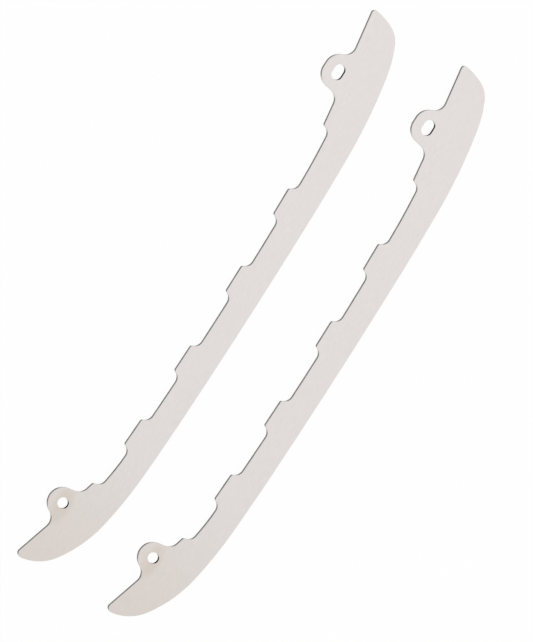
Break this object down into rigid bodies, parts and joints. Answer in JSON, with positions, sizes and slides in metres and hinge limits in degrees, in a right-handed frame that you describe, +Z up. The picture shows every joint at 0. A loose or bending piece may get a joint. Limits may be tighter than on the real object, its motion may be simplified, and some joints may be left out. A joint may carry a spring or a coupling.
{
  "type": "hockey skate runner pair",
  "caption": "Pair of flat steel hockey skate runners with a rockered, hollow-ground ice edge, a padded holder edge, and a bolt hole and a bolt slot in rounded end lugs.",
  "frame": {"origin": "under the middle of the pair, on the surface that the two runners lie on", "axes": "+X from toe to heel along both runners, +Y from the ice edge to the holder edge, +Z up through the plate"},
  "size_m": [0.281, 0.0782, 0.003],
  "materials": {
    "satin_steel": "pale stainless steel with a fine satin grain along the length and ground edges"
  },
  "bodies": {
    "root": {"left_runner": "satin_steel", "right_runner": "satin_steel"}
  },
  "joints": []
}
